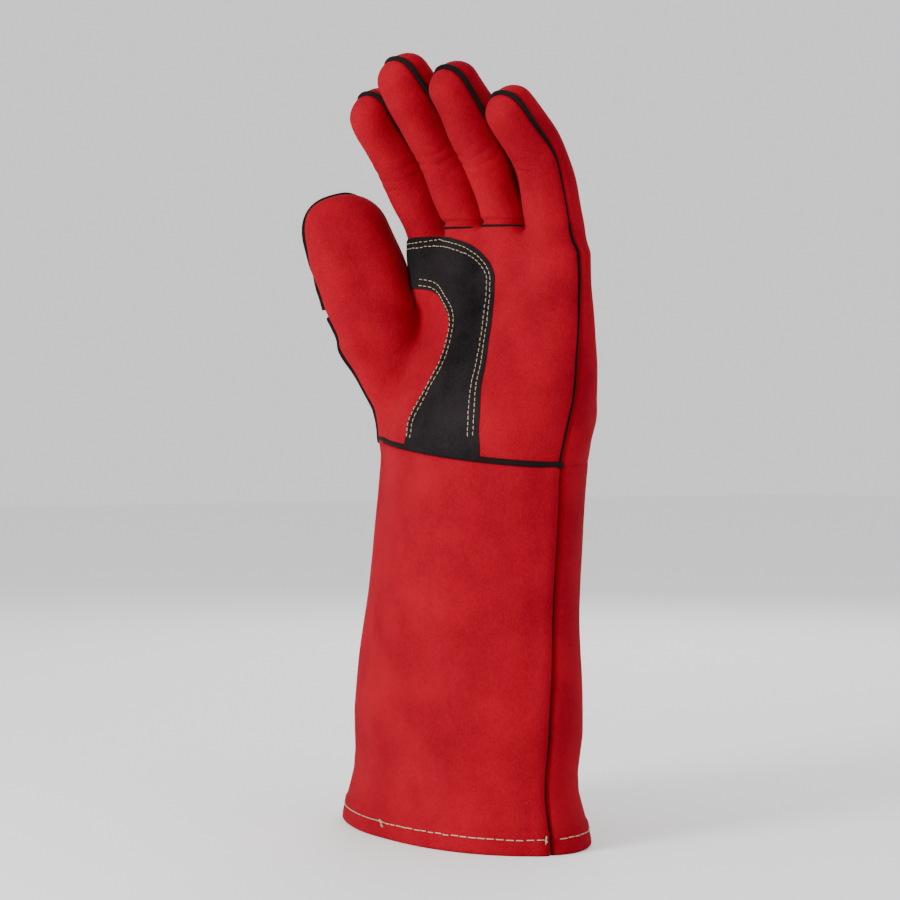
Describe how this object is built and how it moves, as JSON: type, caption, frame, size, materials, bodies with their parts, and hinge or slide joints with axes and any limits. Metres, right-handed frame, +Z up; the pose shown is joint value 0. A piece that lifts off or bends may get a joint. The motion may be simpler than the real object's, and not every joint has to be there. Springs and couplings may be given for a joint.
{
  "type": "heat resistant gauntlet glove",
  "caption": "Long-cuffed left-hand suede leather heat glove, lined, with welted seams and a black palm patch, standing on its cuff with fingers and thumb curled forward.",
  "frame": {"origin": "middle of the cuff's opening, in the plane of its rim", "axes": "+Z up the forearm towards the fingertips, -Y out of the palm, -X towards the thumb"},
  "size_m": [0.168, 0.1053, 0.3883],
  "materials": {
    "red_leather": "napped split suede",
    "black_leather": "napped split suede, worn",
    "welt": "smooth, cut edge",
    "lining": "brushed cotton fleece",
    "thread": "twisted aramid sewing thread"
  },
  "bodies": {
    "gauntlet": {"cuff_palm_panel": "red_leather", "cuff_back_panel": "red_leather", "cuff_lining": "lining", "cuff_little_side_welt": "welt", "cuff_thumb_side_welt": "welt", "wrist_welt": "welt", "hem_stitching": "thread"},
    "hand": {"palm_panel": "red_leather", "back_panel": "red_leather", "hand_lining": "lining", "hand_little_side_welt": "welt", "hand_index_side_welt": "welt", "thumb_crotch_patch": "black_leather", "patch_stitching": "thread", "thumb_wing_front": "red_leather", "thumb_wing_back": "red_leather", "thumb_wing_welt": "welt"},
    "index": {"index_front": "red_leather", "index_back": "red_leather", "index_lining": "lining", "index_welt": "welt"},
    "index_tip": {"index_tip_front": "red_leather", "index_tip_back": "red_leather", "index_tip_lining": "lining", "index_tip_welt": "welt"},
    "middle": {"middle_front": "red_leather", "middle_back": "red_leather", "middle_lining": "lining", "middle_welt": "welt"},
    "middle_tip": {"middle_tip_front": "red_leather", "middle_tip_back": "red_leather", "middle_tip_lining": "lining", "middle_tip_welt": "welt"},
    "ring": {"ring_front": "red_leather", "ring_back": "red_leather", "ring_lining": "lining", "ring_welt": "welt"},
    "ring_tip": {"ring_tip_front": "red_leather", "ring_tip_back": "red_leather", "ring_tip_lining": "lining", "ring_tip_welt": "welt"},
    "little": {"little_front": "red_leather", "little_back": "red_leather", "little_lining": "lining", "little_welt": "welt"},
    "little_tip": {"little_tip_front": "red_leather", "little_tip_back": "red_leather", "little_tip_lining": "lining", "little_tip_welt": "welt"},
    "thumb": {"thumb_front": "red_leather", "thumb_back": "red_leather", "thumb_lining": "lining", "thumb_welt": "welt"},
    "thumb_tip": {"thumb_tip_front": "red_leather", "thumb_tip_back": "red_leather", "thumb_tip_lining": "lining", "thumb_tip_welt": "welt"}
  },
  "joints": [
    {"name": "wrist_bend", "type": "hinge", "parent": "gauntlet", "child": "hand", "pos_m": [0, 0.013, 0.19], "axis": [0.9925, 0, -0.1219], "range_deg": [-15, 18]},
    {"name": "index_knuckle", "type": "hinge", "parent": "hand", "child": "index", "pos_m": [-0.03514, 0.01157, 0.2974], "axis": [0.9994, 0.003, -0.035], "range_deg": [-15, 38]},
    {"name": "index_middle", "type": "hinge", "parent": "index", "child": "index_tip", "pos_m": [-0.03379, -0.00815, 0.33446], "axis": [0.9994, 0.003, -0.035], "range_deg": [-12, 30.4]},
    {"name": "middle_knuckle", "type": "hinge", "parent": "hand", "child": "middle", "pos_m": [-0.00618, 0.01665, 0.29622], "axis": [0.9994, 0.003, -0.035], "range_deg": [-15, 38]},
    {"name": "middle_middle", "type": "hinge", "parent": "middle", "child": "middle_tip", "pos_m": [-0.00458, -0.00483, 0.34023], "axis": [0.9994, 0.003, -0.035], "range_deg": [-12, 30.4]},
    {"name": "ring_knuckle", "type": "hinge", "parent": "hand", "child": "ring", "pos_m": [0.02279, 0.01974, 0.2951], "axis": [0.9994, 0.003, -0.035], "range_deg": [-15, 38]},
    {"name": "ring_middle", "type": "hinge", "parent": "ring", "child": "ring_tip", "pos_m": [0.02427, 0.00072, 0.33586], "axis": [0.9994, 0.003, -0.035], "range_deg": [-12, 30.4]},
    {"name": "little_knuckle", "type": "hinge", "parent": "hand", "child": "little", "pos_m": [0.05177, 0.01983, 0.29409], "axis": [0.9994, 0.003, -0.035], "range_deg": [-15, 38]},
    {"name": "little_middle", "type": "hinge", "parent": "little", "child": "little_tip", "pos_m": [0.05309, 0.01063, 0.33093], "axis": [0.9994, 0.003, -0.035], "range_deg": [-12, 30.4]},
    {"name": "thumb_base", "type": "hinge", "parent": "hand", "child": "thumb", "pos_m": [-0.05086, -0.0161, 0.25171], "axis": [-0.5684, -0.7672, -0.2971], "range_deg": [-22, 10]},
    {"name": "thumb_middle", "type": "hinge", "parent": "thumb", "child": "thumb_tip", "pos_m": [-0.06177, -0.02116, 0.28564], "axis": [-0.5684, -0.7672, -0.2971], "range_deg": [-17.6, 8]}
  ],
  "couplings": [
    {"joint": "index_middle", "follows": "index_knuckle", "ratio": 0.8},
    {"joint": "middle_middle", "follows": "middle_knuckle", "ratio": 0.8},
    {"joint": "ring_middle", "follows": "ring_knuckle", "ratio": 0.8},
    {"joint": "little_middle", "follows": "little_knuckle", "ratio": 0.8},
    {"joint": "thumb_middle", "follows": "thumb_base", "ratio": 0.8}
  ]
}
